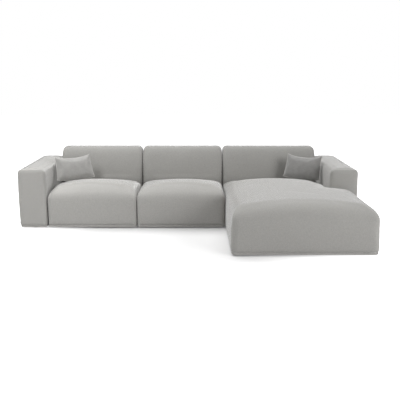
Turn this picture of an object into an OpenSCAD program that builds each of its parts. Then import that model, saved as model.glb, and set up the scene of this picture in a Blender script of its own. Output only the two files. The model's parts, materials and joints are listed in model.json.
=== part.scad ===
// Corner sofa bed with a chaise on its right: two seats roll forward on runners, and the back
// behind each one lies down in step with it, until seat and back make one level bed.
// The origin is on the floor in the middle of the footprint. +X is the sitter's left as seen from
// the front (the viewer's right), +Y points to the rear and +Z up. Lengths are in millimetres.

/* [Body] */
// Width across both arms
body_w = 3160; // [2900:10:3500]
// Depth of the arms, from their front to the rear plane
body_d = 930; // [915:5:1000]
// How far the chaise reaches in front of the arms
chaise_reach = 860; // [700:5:1200]
// Height of the covers' lower edge above the floor
floor_gap = 14; // [10:1:20]
// Gap beside each upholstered block
side_gap = 3; // [3:0.5:8]
// Height of the hem band along the lower edge
hem_h = 22; // [15:1:35]
// How far the hem band stands back
hem_in = 3; // [1:0.5:5]

/* [Arms] */
// Width of an arm
arm_w = 254; // [200:2:320]
// Height of an arm
arm_h = 568; // [520:4:640]
// Rounding of an arm's edges
arm_edge = 26; // [15:1:40]
// Rounding of an arm's upright corners
arm_corner = 30; // [15:1:60]
// Padding over an arm's frame
arm_pad = 25; // [15:1:40]

/* [Seats] */
// Width of the left seat's bay
left_seat_w = 845; // [700:5:950]
// Width of the centre seat's bay
centre_seat_w = 835; // [700:5:950]
// How far a seat's front stands behind the arms' fronts
seat_setback = 8; // [0:1:30]
// Height of a seat's rim
seat_rim = 371; // [365:1:400]
// Rise of a seat's arched top over its rim
seat_crown = 31; // [5:1:45]
// How far a seat's top falls towards its back
seat_fall = 29; // [0:1:50]
// Rounding of a seat's upper side edges, measured level
seat_round = 75; // [50:1:110]
// Rounding of a seat's upper front edge, measured level
seat_front_round = 150; // [30:1:170]
// Rounding of a seat's upper edges, measured upright
seat_drop = 90; // [60:1:100]
// Rounding of a seat's upper edge beside its back, measured level
seat_rear_round = 60; // [30:1:120]
// Rounding of a seat's upright corners
seat_corner = 26; // [20:1:60]
// Padding on a seat's sides
side_pad = 30; // [20:1:45]
// Padding on a seat's front
front_pad = 45; // [30:1:70]
// Height of the hollow under a seat's pad
hollow_top = 262; // [255:1:280]

/* [Chaise] */
// How far the chaise's right side stands inside the right arm's outer side
chaise_inset = 30; // [0:1:60]
// Height of the chaise's rim
chaise_rim = 387; // [375:1:410]
// Rise of the chaise's arched top over its rim
chaise_crown = 40; // [5:1:50]
// How far the chaise's top falls towards its back
chaise_fall = 58; // [0:1:70]
// Rounding of the chaise's upper side edges, measured level
chaise_round = 105; // [80:1:140]
// Rounding of the chaise's upper front edge, measured level
chaise_front_round = 150; // [40:1:170]
// Rounding of the chaise's upper edges, measured upright
chaise_drop = 90; // [75:1:100]
// Rounding of the chaise's upper edge beside the right arm's inner side, measured level
chaise_neck_round = 60; // [40:1:110]
// Rounding of the chaise's upper edge before the right arm's front, measured level
chaise_notch_round = 40; // [30:1:110]
// Rounding of the chaise's upper edge beside its back, measured level
chaise_rear_round = 60; // [30:1:120]
// Rounding of the chaise's upright corners
chaise_corner = 45; // [25:1:80]
// Rounding of the chaise's inner corner at the right arm
notch_corner = 12; // [6:1:30]

/* [Backs] */
// Height of the backs' tops above the floor
back_top = 680; // [660:5:740]
// Thickness of a back
back_t = 235; // [225:1:250]
// Gap between the backs' rears and the rear plane
rear_margin = 18; // [15:1:40]
// How far a back's front face leans to the rear at its top
back_lean = 125; // [60:5:130]
// Height over which it leans, down from the top
back_lean_h = 280; // [150:10:290]
// Rounding of a back's front side edges, measured in its depth
back_round = 50; // [25:1:55]
// The same, measured across
back_side_round = 60; // [40:1:80]
// Rounding of a back's rear edges
back_rear_round = 34; // [15:1:40]
// Rounding of a back's lower front edge, which swings past the seat
swing_round = 80; // [75:1:90]
// Rounding of a back's lower rear edge, which swings over the guides
tuck_round = 60; // [55:1:70]
// Rounding of a back's corners, seen from the front
back_corner = 52; // [20:1:60]
// How far the rim of a back's front face stands back from its middle
back_crown = 7; // [2:1:15]

/* [Mechanism] */
// Height of a back's upper face when it lies down
bed_level = 400; // [395:1:415]
// Travel of a seat
pull_out = 450; // [440:5:480]
// Distance from a back's front face to its hinge
pivot_in = 120; // [115:1:124]
// Height of a back's hinge over its lower face
pivot_up = 110; // [105:1:114]
// Gap between a seat and its back
swing_gap = 14; // [12:0.5:20]
// Radius of a hinge pin
pin_r = 8; // [6:0.5:10]
// Radial clearance of a running fit
run_fit = 0.05; // [0.02:0.01:0.1]
// Guide stud's distance behind the hinge
stud_back = 100; // [92:1:104]
// Guide stud's distance under the hinge
stud_down = 150; // [145:1:155]
// Radius of a guide stud
stud_r = 4; // [3:0.5:5]
// Radius of the bush on a guide stud
bush_r = 6; // [5.5:0.25:7]
// Clearance of a bush in its guide
guide_fit = 0.3; // [0.2:0.05:0.6]
// Width of the metal left on each side of a guide's slot
guide_wall = 6; // [4:0.5:8]
// Radius of a seat's floor rollers
roller_r = 25; // [20:1:28]
// Width of a floor roller
roller_w = 20; // [14:1:26]
// Radius of a floor roller's axle
axle_r = 5; // [4:0.5:6]

/* [Frames] */
// Thickness of the frames' boards
board = 20; // [15:1:24]
// Gap left for glue and for the covers' cloth
fit = 0.3; // [0.2:0.05:0.5]
// Height of the frames' upper edge
frame_top = 250; // [240:1:254]
// Width of the fixed rails
rail_w = 30; // [25:1:40]
// Height of the fixed rails' lower face
rail_z = 40; // [34:1:44]
// Height of the fixed rails
rail_h = 40; // [36:1:44]
// Height of the rear skirt's upper edge
skirt_top = 155; // [130:1:158]
// Thickness of the rear skirt
skirt_t = 12; // [8:1:12]
// Width of a webbing strap
strap_w = 60; // [40:1:80]
// Thickness of a webbing strap
strap_t = 3; // [2:0.5:4]
// Straps across each seat and along it
straps = 5; // [3:1:7]
// Radius of a foot
foot_r = 22; // [15:1:28]
// Width of the plates that hook the modules together
hook_w = 60; // [40:1:80]
// Height of the plates that hook the modules together
hook_h = 100; // [60:1:120]
// Height of those plates' lower edge
hook_z = 60; // [50:1:90]

/* [Pillows] */
// Width of a pillow
pillow_w = 385; // [350:5:500]
// Height of a pillow
pillow_h = 245; // [230:5:320]
// Thickness of a pillow
pillow_t = 105; // [70:5:130]
// How far a pillow's upper and side edges draw in between its corners, as a share
pillow_draw = 0.085; // [0.02:0.005:0.12]
// How far its lower edge sags between its corners, as a share
pillow_sag = 0.16; // [0:0.01:0.2]
// How far its lower corners stand out beyond the upper ones
pillow_flare = 12; // [0:1:20]

/* [Hidden] */

cloth = [0.66, 0.65, 0.63];
pillow_cloth = [0.60, 0.59, 0.58];
timber = [0.80, 0.67, 0.48];
steel = [0.62, 0.64, 0.67];
black = [0.12, 0.12, 0.13];

// Bays, from left to right
left_x = -body_w / 2 + arm_w;
seam_x = left_x + left_seat_w;
chaise_x = seam_x + centre_seat_w;
right_x = body_w / 2 - arm_w;
left_bay = [left_x, seam_x];
centre_bay = [seam_x, chaise_x];
right_bay = [chaise_x, right_x];

// Everything is drawn with y = 0 at the arms' fronts and then moved by front_y.
front_y = (chaise_reach - body_d) / 2;
back_y = body_d - rear_margin - back_t;
seat_rear = back_y - swing_gap;
pivot_y = back_y + pivot_in;
pivot_z = bed_level - pivot_in;
back_low = pivot_z - pivot_up;

// Seat frame inside its cover
board_out = side_gap + side_pad + fit;
board_in = board_out + board;
seat_front_board = seat_setback + front_pad + fit;
frame_low = 46;
bracket_foot_back = 155;
bracket_foot_d = 57;
bracket_foot_y = [pivot_y - bracket_foot_back - bracket_foot_d, pivot_y - bracket_foot_back];
rear_rail_front = 65;
rear_rail_y = bracket_foot_y[0] - rear_rail_front;
rear_rail_d = 36;
rear_rail_h = 44;
cross_rail_h = 30;

// Runners on the inner faces of the seat's side boards, as heights, depths and reaches
runner_z = [rail_z + 1, rail_z + rail_h - 1];
runner_wall = 2;
runner_play = 2;
rail_x = 16;
fixed_runner_y = [150, 640];
moving_runner_y = [78, 758];

// Hinge plates beside the runners
bracket_t = 5;
bracket_low = 130;
arm_plate_x = bracket_t + 1;
hub_r = 20;
hub_flat = 17;
stud_hub_r = 13;
stud_flat = 10;
flange_up = 130;
guide_x = 12;
guide_t = rail_x - guide_x;
slot_w = bush_r + guide_fit;

// Where a top falls towards its back
fall_end = back_y - 77;
fall_run = 350;

// Steps and levels that the soft forms share
corner_steps = 4;
crown_steps = 4;
crown_margin = 60;
down_shares = [0.3, 0.5, 0.62, 0.74, 0.86];
cross_shares = [0.15, 0.32, 0.5, 0.68, 0.85];
round_levels = [0.3, 0.58, 0.8, 0.95, 1];
lean_shares = [1, 0.88, 0.76, 0.64, 0.52, 0.4, 0.29, 0.19, 0.11, 0.05, 0.015, 0];
fg = floor_gap;

function mix(a, b, t) = a + (b - a) * t;
function ease(t) = let (u = min(1, max(0, t))) u * u * (3 - 2 * u);

// How far a surface stands in where an edge of radius r starts at distance d from its end
function round_in(d, r) = d >= r ? 0 : r - sqrt(r * r - (r - d) * (r - d));

// The same for an edge that is wide and drop high, at height z under the rim
function rim_in(z, rim, wide, drop) =
  z <= rim - drop ? 0 : wide * (1 - sqrt(max(0, 1 - pow((z - rim + drop) / drop, 2))));

function corner_arc(x, y, r, from) =
  [for (k = [0:corner_steps]) let (t = from + 90 * k / corner_steps) [x + r * cos(t), y + r * sin(t)]];

// A rectangle with round corners, counter-clockwise
function rect_ring(x0, x1, y0, y1, r) = concat(
  corner_arc(x1 - r, y0 + r, r, -90), corner_arc(x1 - r, y1 - r, r, 0),
  corner_arc(x0 + r, y1 - r, r, 90), corner_arc(x0 + r, y0 + r, r, 180)
);

// Points along a side, between its corners
function along(a, b, shares) = [for (t = shares) a + (b - a) * t];
function turned_round(list) = [for (k = [len(list) - 1:-1:0]) list[k]];
function mirrored(shares) = [for (t = turned_round(shares)) 1 - t];

// The same with points along its sides
function seat_ring(x0, x1, y0, y1, r) = concat(
  corner_arc(x1 - r, y0 + r, r, -90), along([x1, y0 + r], [x1, y1 - r], down_shares),
  corner_arc(x1 - r, y1 - r, r, 0), along([x1 - r, y1], [x0 + r, y1], cross_shares),
  corner_arc(x0 + r, y1 - r, r, 90), along([x0, y1 - r], [x0, y0 + r], mirrored(down_shares)),
  corner_arc(x0 + r, y0 + r, r, 180), along([x0 + r, y0], [x1 - r, y0], cross_shares)
);

// The chaise's outline, each side moved in by its own way: wide in front of the right arm, narrow beside it
function chaise_ring(side, front, rear, neck, notch, r) =
  let (
    x0 = chaise_left + side, x1 = chaise_right - side, xn = chaise_neck - neck,
    y0 = chaise_front + front, y1 = chaise_rear - rear, yn = chaise_notch_y - notch,
    back = min(r, 26), n = notch_corner, edge = x1 - r
  )
  concat(
    corner_arc(edge, y0 + r, r, -90), corner_arc(edge, yn - r, r, 0),
    [for (k = [0:corner_steps]) let (t = 270 - 90 * k / corner_steps)
      [min(xn + (n + neck) * (1 + cos(t)), edge - 1 - k), yn + (n + notch) * (1 + sin(t))]],
    along([xn, yn + n + notch], [xn, y1 - back], down_shares),
    corner_arc(xn - back, y1 - back, back, 0), along([xn - back, y1], [x0 + back, y1], cross_shares),
    corner_arc(x0 + back, y1 - back, back, 90), along([x0, y1 - back], [x0, y0 + r], mirrored(down_shares)),
    corner_arc(x0 + r, y0 + r, r, 180), along([x0 + r, y0], [edge, y0], cross_shares)
  );

function lift(ring, z) = [for (p = ring) [p.x, p.y, z]];

// How high an arch stands over its ends, and how far a top has fallen towards its back, as shares
function arch(x, x0, x1) = max(0, 1 - pow((2 * x - x0 - x1) / (x1 - x0), 2));
function fallen(y) = ease((y - fall_end + fall_run) / fall_run);

// A ring at height z of a form whose top rises over its rim as the function tells
function raised(ring, z, rim, drop, rise) =
  let (share = min(1, max(0, (z - rim + drop) / drop)))
  [for (p = ring) [p.x, p.y, z + share * rise(p)]];

// A closed form through rings of equal count, with a point in the middle of each end
module stack(rings, low, high) {
  n = len(rings[0]);
  last = (len(rings) - 1) * n;
  points = concat([for (ring = rings) each ring], [low, high]);
  sides = [for (k = [0:len(rings) - 2]) for (j = [0:n - 1])
    let (a = k * n + j, b = k * n + (j + 1) % n)
    each [[a, a + n, b + n], [a, b + n, b]]];
  ends = [for (j = [0:n - 1]) let (m = (j + 1) % n)
    each [[last + n, j, m], [last + n + 1, last + m, last + j]]];
  polyhedron(points, concat(sides, ends));
}

module box(low, high) {
  translate(low) cube(high - low);
}

// An outline of y and z, made solid from x0 to x1
module across(x0, x1) {
  translate([x0, 0, 0]) rotate([90, 0, 90]) linear_extrude(x1 - x0) children();
}

// A rod along x
module rod(x0, x1, y, z, r) {
  translate([x0, y, z]) rotate([0, 90, 0]) cylinder(h = x1 - x0, r = r, $fn = 48);
}

// Draws its children from the inner face of each side board of a bay, facing inward
module both_sides(bay) {
  translate([bay[0] + board_in, 0, 0]) children();
  translate([bay[1] - board_in, 0, 0]) mirror([1, 0, 0]) children();
}

module placed() {
  translate([0, front_y, 0]) children();
}

// Heights of the rings up a block's side, and how far its sides draw in there
function side_levels(rim, drop) = concat(
  [fg, fg + hem_h, fg + hem_h + 3, 150, 270],
  [rim - drop], [for (t = round_levels) rim - drop + drop * t]
);
function drawn_in(z, rim) = z < fg + hem_h + 1 ? hem_in : 1.5 * pow((z - rim / 2) / (rim / 2), 2);

// Seats

module seat_form(bay) {
  x0 = bay[0] + side_gap;
  x1 = bay[1] - side_gap;
  y0 = seat_setback;
  y1 = seat_rear;
  rise = function (p) seat_crown * arch(p.x, x0, x1) - seat_fall * fallen(p.y);
  sides = [for (z = side_levels(seat_rim, seat_drop))
    let (
      d = drawn_in(z, seat_rim),
      side = d + rim_in(z, seat_rim, seat_round, seat_drop),
      front = d + rim_in(z, seat_rim, seat_front_round, seat_drop),
      rear = rim_in(z, seat_rim, seat_rear_round, seat_drop),
      ring = seat_ring(x0 + side, x1 - side, y0 + front, y1 - rear, seat_corner + 0.3 * front)
    )
    raised(ring, z, seat_rim, seat_drop, rise)];
  crown = [for (k = [1:crown_steps])
    let (
      t = k / (crown_steps + 1),
      side = mix(seat_round, (x1 - x0) / 2 - crown_margin, t),
      front = mix(seat_front_round, (y1 - y0) / 2 - crown_margin, t),
      rear = mix(seat_rear_round, (y1 - y0) / 2 - crown_margin, t),
      ring = seat_ring(x0 + side, x1 - side, y0 + front, y1 - rear, seat_corner)
    )
    raised(ring, seat_rim, seat_rim, seat_drop, rise)];
  middle = [(x0 + x1) / 2, (y0 + y1) / 2];
  stack(concat(sides, crown), [middle.x, middle.y, fg], [middle.x, middle.y, seat_rim + rise(middle)]);
}

module seat_cover(bay) {
  color(cloth) placed() difference() {
    seat_form(bay);
    box(
      [bay[0] + side_gap + side_pad, seat_setback + front_pad, -1],
      [bay[1] - side_gap - side_pad, seat_rear + 1, hollow_top]
    );
    both_sides(bay) box(
      [-1, bracket_foot_y[0] - 4, hollow_top - 1],
      [bracket_t + 1, seat_rear + 1, pivot_z + hub_r + 5]
    );
  }
}

module seat_frame(bay) {
  x0 = bay[0] + board_out;
  x1 = bay[1] - board_out;
  inner_y = seat_front_board + board + fit;
  color(timber) placed() {
    box([x0, seat_front_board, 26], [x1, seat_front_board + board, frame_top]);
    box([x0, inner_y, frame_low], [x0 + board, seat_rear - 5, frame_top]);
    box([x1 - board, inner_y, frame_low], [x1, seat_rear - 5, frame_top]);
    box(
      [x0 + board + fit, rear_rail_y, frame_top - rear_rail_h],
      [x1 - board - fit, rear_rail_y + rear_rail_d, frame_top]
    );
    for (share = [1 / 3, 2 / 3]) {
      y = mix(inner_y, rear_rail_y, share);
      box([x0 + board + fit, y, frame_top - cross_rail_h], [x1 - board - fit, y + board, frame_top]);
    }
  }
}

// Straps along y on the frame, and straps along x on top of them
module webbing(x0, x1, y0, y1, along, over) {
  z = frame_top + fit;
  for (k = [1:along]) {
    x = mix(x0 + board, x1 - board, k / (along + 1));
    box([x - strap_w / 2, y0, z], [x + strap_w / 2, y1, z + strap_t]);
  }
  for (k = [1:over]) {
    y = mix(y0 + board, y1 - board, k / (over + 1));
    box([x0, y - strap_w / 2, z + strap_t], [x1, y + strap_w / 2, z + 2 * strap_t]);
  }
}

module seat_webbing(bay) {
  color(black) placed() webbing(
    bay[0] + board_out, bay[1] - board_out, seat_front_board, rear_rail_y + rear_rail_d, straps, straps - 1
  );
}

// A channel that opens towards +x, with its web against x = 0
module channel(deep, z, wall, y) {
  box([0, y[0], z[0]], [wall, y[1], z[1]]);
  box([0, y[0], z[0]], [deep, y[1], z[0] + wall]);
  box([0, y[0], z[1] - wall], [deep, y[1], z[1]]);
}

module moving_runners(bay) {
  inset = runner_wall + runner_play;
  color(steel) placed() both_sides(bay) translate([fit, 0, 0])
    channel(9, [runner_z[0] + inset, runner_z[1] - inset], runner_wall, moving_runner_y);
}

module fixed_runners(bay) {
  color(steel) placed() both_sides(bay) translate([rail_x - fit, 0, 0]) mirror([1, 0, 0])
    channel(12, runner_z, runner_wall, fixed_runner_y);
}

// Brackets that carry a back's hinge: a foot on the seat's side board and an arm to the rear
module seat_brackets(bay) {
  color(steel) placed() both_sides(bay) difference() {
    union() {
      box([fit, bracket_foot_y[0], bracket_low], [bracket_t, bracket_foot_y[1], pivot_z + hub_flat]);
      box([fit, bracket_foot_y[0], pivot_z - hub_flat], [bracket_t, pivot_y, pivot_z + hub_flat]);
      rod(fit, bracket_t, pivot_y, pivot_z, hub_r);
    }
    rod(-1, bracket_t + 1, pivot_y, pivot_z, pin_r + run_fit);
  }
}

module hinge_pins(bay) {
  color(steel) placed() both_sides(bay) rod(-2, arm_plate_x + bracket_t, pivot_y, pivot_z, pin_r);
}

// Floor rollers behind a seat's front board
roller_y = seat_front_board + board + 32;
roller_x = 34;
fork_gap = 2;
fork_wall = 3;
fork_top = 2 * roller_r + 8;

module roller_forks(bay) {
  half = roller_w / 2 + fork_gap;
  plate_y = seat_front_board + board + fit;
  color(steel) placed() both_sides(bay) translate([roller_x, 0, 0]) difference() {
    union() {
      for (side = [-1, 1]) {
        x = side * (half + fork_wall / 2);
        box([x - fork_wall / 2, roller_y - 16, roller_r - 10], [x + fork_wall / 2, roller_y + 16, fork_top]);
      }
      box([-half - fork_wall, plate_y, fork_top], [half + fork_wall, roller_y + 16, fork_top + fork_wall]);
      box([-half - fork_wall, plate_y, fork_top], [half + fork_wall, plate_y + fork_wall, fork_top + 40]);
    }
    rod(-half - fork_wall - 1, half + fork_wall + 1, roller_y, roller_r, axle_r + run_fit);
  }
}

module roller_axles(bay) {
  half = roller_w / 2 + fork_gap + fork_wall + 2;
  color(steel) placed() both_sides(bay) rod(roller_x - half, roller_x + half, roller_y, roller_r, axle_r);
}

module rollers(bay) {
  color(black) placed() both_sides(bay) difference() {
    rod(roller_x - roller_w / 2, roller_x + roller_w / 2, roller_y, roller_r, roller_r);
    rod(roller_x - roller_w, roller_x + roller_w, roller_y, roller_r, axle_r + run_fit);
  }
}

// Backs

// How far a back's upper edge stands down at depth d behind its front face: steep below, round on top
lean_curve = [0.75, 1.7];
function lean_in(d) =
  d >= back_lean ? 0 : back_lean_h * pow(1 - pow(d / back_lean, lean_curve[0]), lean_curve[1]);

// A back's form between two heights: rings from its rear face to its front, laid on their side
module back_form(bay, z0, z1, low_front, low_rear) {
  x0 = bay[0] + side_gap;
  x1 = bay[1] - side_gap;
  rim_t = back_t - back_crown;
  levels = concat(
    [0, 5, 14, back_rear_round, 42, max(low_rear, 50)],
    [for (share = lean_shares) rim_t - back_lean * share]
  );
  sides = [for (t = levels)
    let (
      across = back_side_round / back_round,
      side = max(round_in(t, back_rear_round), across * round_in(rim_t - t, back_round)),
      high = z1 - max(round_in(t, back_rear_round), lean_in(rim_t - t)),
      low = z0 + max(round_in(t, low_rear), round_in(rim_t - t, low_front))
    )
    lift(rect_ring(x0 + side, x1 - side, low, high, back_corner), t)];
  front_low = z0 + low_front;
  front_high = z1 - back_lean_h;
  crown = [for (k = [1:2])
    let (e = 15 * k, side = back_side_round + 3 * e, rise = back_crown * (1 - pow(1 - k / 3, 2)))
    lift(
      rect_ring(x0 + side, x1 - side, front_low + e, front_high - e, back_corner - e / 2),
      rim_t + rise
    )];
  mid_x = (x0 + x1) / 2;
  translate([0, back_y + back_t, 0]) rotate([90, 0, 0]) stack(
    concat(sides, crown), [mid_x, (z0 + z1) / 2, 0], [mid_x, (front_low + front_high) / 2, back_t]
  );
}

// Pocket for a back's frame, and the frame in it
pocket_front = back_y + 90;
pocket_under = 80;
pocket_top = back_top - pocket_under;
pocket_x = arm_plate_x + bracket_t + fit;
pivot_pocket_low = pivot_z - 55;
panel_t = 10;
stile_w = 34;
stile_d = 70;

module back_pocket(bay, z0) {
  box(
    [bay[0] + board_in + pocket_x, pocket_front, z0],
    [bay[1] - board_in - pocket_x, body_d, pocket_top]
  );
}

module frame_of_back(bay, z0) {
  x0 = bay[0] + board_in + pocket_x + fit;
  x1 = bay[1] - board_in - pocket_x - fit;
  y0 = pocket_front + fit;
  y1 = y0 + stile_d;
  low = z0 + fit;
  high = pocket_top - fit;
  rail = 40;
  color(timber) placed() {
    box([x0, y0, low], [x0 + stile_w, y1, high]);
    box([x1 - stile_w, y0, low], [x1, y1, high]);
    for (z = [low, (low + high - rail) / 2, high - rail]) {
      box([x0 + stile_w + fit, y0, z], [x1 - stile_w - fit, y1, z + rail]);
    }
    for (share = [1 / 3, 2 / 3]) {
      x = mix(x0 + stile_w, x1 - stile_w, share);
      box([x - 14, y1 + fit, low], [x + 14, back_y + back_t - 2 - panel_t - fit, high]);
    }
  }
}

module panel_of_back(bay, z0) {
  y1 = back_y + back_t - 2;
  color(cloth) placed() box(
    [bay[0] + board_in + pocket_x + fit, y1 - panel_t, z0 + fit],
    [bay[1] - board_in - pocket_x - fit, y1, pocket_top - fit]
  );
}

module folding_back_cover(bay) {
  color(cloth) placed() difference() {
    back_form(bay, back_low, back_top, swing_round, tuck_round);
    back_pocket(bay, pivot_pocket_low);
    both_sides(bay) {
      box([-3, back_y - 1, back_low - 1], [pocket_x + 1, pivot_y + stud_back - 4, pivot_z + hub_r + 4]);
      box(
        [bracket_t + fit, pocket_front, pivot_z - hub_r],
        [pocket_x + 1, pivot_y + hub_r + fit, pivot_z + flange_up + 4]
      );
    }
  }
}

// Plates on a back's frame: a bored hub, a flange up the stile and a tail down to the guide stud
module back_arms(bay) {
  x0 = arm_plate_x;
  x1 = arm_plate_x + bracket_t;
  tail = norm([stud_back, stud_down]);
  tilt = atan2(stud_back, stud_down);
  sy = pivot_y + stud_back;
  sz = pivot_z - stud_down;
  color(steel) placed() both_sides(bay) {
    across(x0, x1) difference() {
      union() {
        translate([pivot_y, pivot_z]) circle(r = hub_r, $fn = 48);
        translate([pivot_y - hub_flat, pivot_z]) square([2 * hub_flat, flange_up]);
        translate([pivot_y, pivot_z]) rotate(tilt) translate([-stud_flat, -tail])
          square([2 * stud_flat, tail]);
        translate([sy, sz]) circle(r = stud_hub_r, $fn = 48);
      }
      translate([pivot_y, pivot_z]) circle(r = pin_r + run_fit, $fn = 48);
    }
    rod(x0 + 1, rail_x + 2, sy, sz, stud_r);
    rod(rail_x + 1.5, rail_x + 4, sy, sz, bush_r + 3);
  }
}

module guide_bushes(bay) {
  sy = pivot_y + stud_back;
  sz = pivot_z - stud_down;
  color(black) placed() both_sides(bay) difference() {
    rod(guide_x, rail_x, sy, sz, bush_r);
    rod(guide_x - 1, rail_x + 1, sy, sz, stud_r + run_fit);
  }
}

// Path of a guide stud while the seat travels out and its back turns by t degrees
function path(t) = [
  pivot_y - pull_out * t / 90 + stud_back * cos(t) - stud_down * sin(t),
  pivot_z - stud_back * sin(t) - stud_down * cos(t)
];
function path_up(t) =
  let (
    dy = -pull_out * 2 / PI - stud_back * sin(t) - stud_down * cos(t),
    dz = -stud_back * cos(t) + stud_down * sin(t)
  )
  [dz, -dy] / norm([dy, dz]);
function beside(t0, t1, off) = [for (k = [0:24]) let (t = mix(t0, t1, k / 24)) path(t) + off * path_up(t)];

// Degrees of the back's turn by which a slot and its plate run past the stud's last places
slot_over = 1.2;
plate_over = 2.2;

module guide_plates(bay) {
  rail_top = rail_z + rail_h;
  plate = beside(-plate_over, 90 + plate_over, slot_w + guide_wall);
  slot_up = beside(-slot_over, 90 + slot_over, slot_w);
  slot_low = beside(-slot_over, 90 + slot_over, -slot_w);
  color(steel) placed() both_sides(bay) {
    across(guide_x, guide_x + guide_t) difference() {
      polygon(concat(plate, [[plate[24].x, rail_top + fit], [plate[0].x, rail_top + fit]]));
      polygon(concat(slot_up, turned_round(slot_low)));
    }
    box([guide_x, plate[24].x, rail_top + fit], [rail_x + rail_w - 4, plate[0].x, rail_top + fit + 3]);
  }
}

// Fixed base under the seats

base_rear = body_d - skirt_t - fit;
beam_d = 40;
rail_front = 150;
cross_share = 0.425;

module base_rails() {
  rail_end = base_rear - beam_d - fit;
  z1 = rail_z + rail_h;
  color(timber) placed() {
    box([left_x + fit, base_rear - beam_d, rail_z], [chaise_x + side_gap - fit, base_rear, z1]);
    for (bay = [left_bay, centre_bay]) {
      both_sides(bay) box([rail_x, rail_front, rail_z], [rail_x + rail_w, rail_end, z1]);
      cross_x = board_in + rail_x + rail_w + fit;
      for (y = [rail_front, mix(rail_front, rail_end, cross_share)]) {
        box([bay[0] + cross_x, y, rail_z], [bay[1] - cross_x, y + rail_w, z1]);
      }
    }
  }
}

module rear_skirt() {
  color(cloth) placed()
    box([left_x + fit, body_d - skirt_t, fg], [chaise_x + side_gap - fit, body_d, skirt_top]);
}

// Flat plates that hook the modules to each other in the gaps between them
module module_connectors() {
  z = [hook_z, hook_z + hook_h];
  color(steel) placed() {
    for (y = [mix(0, back_y, 0.3), mix(0, back_y, 0.7), back_y + (back_t - hook_w) / 2]) {
      box([right_x - side_gap + fit, y, z[0]], [right_x - fit, y + hook_w, z[1]]);
    }
    for (share = [0.25, 0.75]) {
      x = mix(chaise_x, right_x, share);
      box([x - hook_w / 2, back_y - side_gap + fit, z[0]], [x + hook_w / 2, back_y - fit, z[1]]);
    }
  }
}

// Arms

module arm_form(x0, x1) {
  z1 = arm_h;
  low = [fg, fg + 4, fg + 12, fg + arm_edge];
  high = [z1 - arm_edge, z1 - 0.6 * arm_edge, z1 - 0.28 * arm_edge, z1 - 0.08 * arm_edge, z1];
  rings = [for (z = concat(low, [mix(fg, z1, 0.1), mix(fg, z1, 0.5)], high))
    let (e = max(round_in(z - fg, arm_edge), round_in(z1 - z, arm_edge)))
    lift(rect_ring(x0 + e, x1 - e, e, body_d - e, max(arm_corner - e / 2, 8)), z)];
  mid = [(x0 + x1) / 2, body_d / 2];
  stack(rings, [mid.x, mid.y, fg], [mid.x, mid.y, z1]);
}

module arm_cover(x0) {
  color(cloth) placed() difference() {
    arm_form(x0, x0 + arm_w);
    box([x0 + arm_pad, arm_pad, -1], [x0 + arm_w - arm_pad, body_d - arm_pad, arm_h - 1.5 * arm_pad]);
  }
}

module arm_frame(x0) {
  a0 = x0 + arm_pad + fit;
  a1 = x0 + arm_w - arm_pad - fit;
  y0 = arm_pad + fit;
  y1 = body_d - arm_pad - fit;
  high = arm_h - 1.5 * arm_pad - fit;
  low = 20;
  post = 60;
  color(timber) placed() {
    box([a0, y0, low], [a1, y1, low + board]);
    box([a0, y0, high - board], [a1, y1, high]);
    for (y = [y0, (y0 + y1 - post) / 2, y1 - post]) {
      box([a0, y, low + board + fit], [a0 + board, y + post, high - board - fit]);
      box([a1 - board, y, low + board + fit], [a1, y + post, high - board - fit]);
    }
    for (y = [y0, y1 - board]) {
      box([a0 + board + fit, y, low + board + fit], [a1 - board - fit, y + board, high - board - fit]);
    }
  }
}

// Chaise

chaise_right = body_w / 2 - chaise_inset;
chaise_front = -chaise_reach;
chaise_notch_y = -side_gap;
chaise_rear = back_y - side_gap;
chaise_left = chaise_x + side_gap;
chaise_neck = right_x - side_gap;
arch_change = 300;

module chaise_form() {
  half = (chaise_neck - chaise_left) / 2;
  // The arch spans the whole chaise in front of the arm, and its narrow part farther back
  rise = function (p) let (x1 = mix(chaise_right, chaise_neck, ease(p.y / arch_change)))
    chaise_crown * arch(p.x, chaise_left, x1) - chaise_fall * fallen(p.y);
  sides = [for (z = side_levels(chaise_rim, chaise_drop))
    let (
      d = drawn_in(z, chaise_rim),
      side = d + rim_in(z, chaise_rim, chaise_round, chaise_drop),
      front = d + rim_in(z, chaise_rim, chaise_front_round, chaise_drop),
      rear = rim_in(z, chaise_rim, chaise_rear_round, chaise_drop),
      neck = rim_in(z, chaise_rim, chaise_neck_round, chaise_drop),
      notch = rim_in(z, chaise_rim, chaise_notch_round, chaise_drop),
      ring = chaise_ring(side, front, rear, neck, notch, chaise_corner)
    )
    raised(ring, z, chaise_rim, chaise_drop, rise)];
  crown = [for (k = [1:crown_steps])
    let (
      t = k / (crown_steps + 1),
      end = half - crown_margin,
      ring = chaise_ring(
        mix(chaise_round, end, t), mix(chaise_front_round, end, t), mix(chaise_rear_round, end, t),
        mix(chaise_neck_round, end, t), mix(chaise_notch_round, end, t), mix(chaise_corner, 20, t)
      )
    )
    raised(ring, chaise_rim, chaise_rim, chaise_drop, rise)];
  middle = [chaise_left + half, 0.35 * chaise_front];
  stack(concat(sides, crown), [middle.x, middle.y, fg], [middle.x, middle.y, chaise_rim + rise(middle)]);
}

module chaise_cover() {
  pad = front_pad;
  color(cloth) placed() difference() {
    chaise_form();
    box([chaise_left + pad, chaise_front + pad, -1], [chaise_right - pad, chaise_notch_y - pad, hollow_top]);
    box(
      [chaise_left + pad, chaise_notch_y - pad - 1, -1],
      [chaise_neck - pad, chaise_rear - pad, hollow_top]
    );
  }
}

cloth_z = 22;
cloth_t = 2;
chaise_in = front_pad + fit;

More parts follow.
